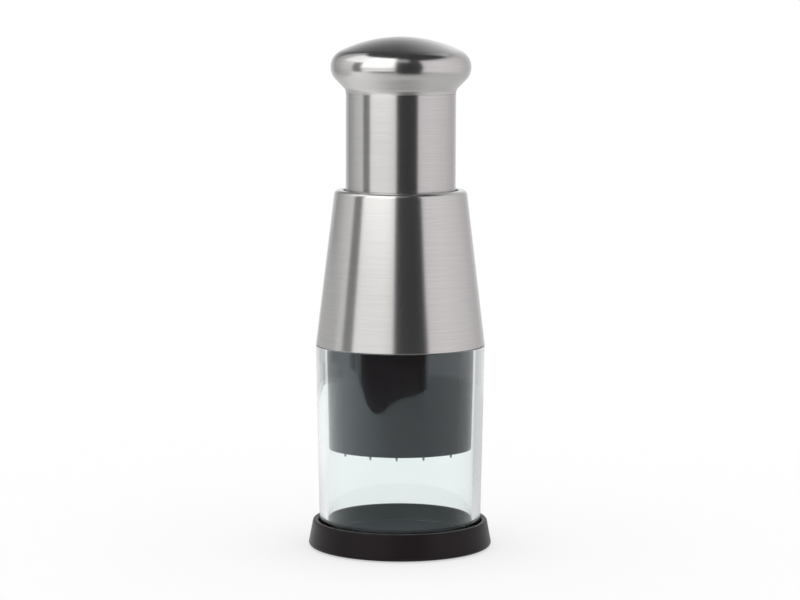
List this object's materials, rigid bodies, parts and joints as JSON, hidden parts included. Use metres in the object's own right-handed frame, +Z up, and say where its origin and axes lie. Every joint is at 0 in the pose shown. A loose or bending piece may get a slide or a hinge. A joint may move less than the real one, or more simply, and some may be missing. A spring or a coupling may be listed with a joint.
{
  "type": "plunger food chopper",
  "caption": "Upright hand chopper: steel knob plunger in a conical steel collar over a clear container with a zigzag blade, standing in a black base.",
  "frame": {"origin": "centre of the foot ring's underside, on the table", "axes": "+Z up along the plunger's axis, -Y towards the front"},
  "size_m": [0.0818, 0.0818, 0.2276],
  "materials": {
    "brushed_steel": "satin, brushed round the axis",
    "bright_steel": "turned and polished",
    "spring_steel": "drawn wire",
    "blade_steel": "ground",
    "clear_plastic": "clear, polished",
    "black_plastic": "satin gloss",
    "board_plastic": "matt",
    "cup_plastic": "satin gloss",
    "frame_plastic": "moulded, matt",
    "white_plastic": "moulded, matt",
    "rubber": "matt",
    "seal_rubber": "matt, translucent grey"
  },
  "bodies": {
    "base": {"base_tray": "black_plastic", "chopping_board": "board_plastic", "foot_ring": "rubber"},
    "container": {"clear_container": "clear_plastic", "neck_seal": "seal_rubber"},
    "housing": {"collar_shell": "brushed_steel", "inner_frame": "frame_plastic", "guide_bush": "frame_plastic", "ratchet_ring": "white_plastic", "index_nut": "white_plastic", "index_pins": "bright_steel", "nut_cover": "frame_plastic", "cover_screws": "bright_steel"},
    "plunger": {"knob_shell": "brushed_steel", "plunger_tube": "brushed_steel", "knob_core": "frame_plastic", "stop_ring": "frame_plastic", "spring_seat": "frame_plastic", "return_spring": "spring_steel"},
    "cutter": {"drive_shaft": "bright_steel", "thrust_washer": "white_plastic", "top_washer": "white_plastic", "shaft_clip": "spring_steel", "blade_carrier": "cup_plastic", "carrier_pin": "bright_steel", "zigzag_blade": "blade_steel"},
    "wiper": {"wiper_cup": "cup_plastic", "wiper_plate": "cup_plastic"}
  },
  "joints": [
    {"name": "container_lift", "type": "slide", "parent": "base", "child": "container", "axis": [0, 0, 1], "range_m": [0, 0.03]},
    {"name": "housing_lift", "type": "slide", "parent": "container", "child": "housing", "axis": [0, 0, 1], "range_m": [0, 0.03]},
    {"name": "plunger_press", "type": "slide", "parent": "housing", "child": "plunger", "axis": [0, 0, -1], "range_m": [0, 0.0372], "stiffness_N_per_m": 500, "springref_m": -0.016, "deforming": ["return_spring"]},
    {"name": "blade_index", "type": "hinge", "parent": "plunger", "child": "cutter", "pos_m": [0, 0, 0.07], "axis": [0, 0, 1], "range_deg": [0, 30]},
    {"name": "wiper_slide", "type": "slide", "parent": "cutter", "child": "wiper", "axis": [0, 0, 1], "range_m": [0, 0.0175]}
  ],
  "couplings": [
    {"joint": "blade_index", "follows": "plunger_press", "rad_per_m": 14.075}
  ]
}
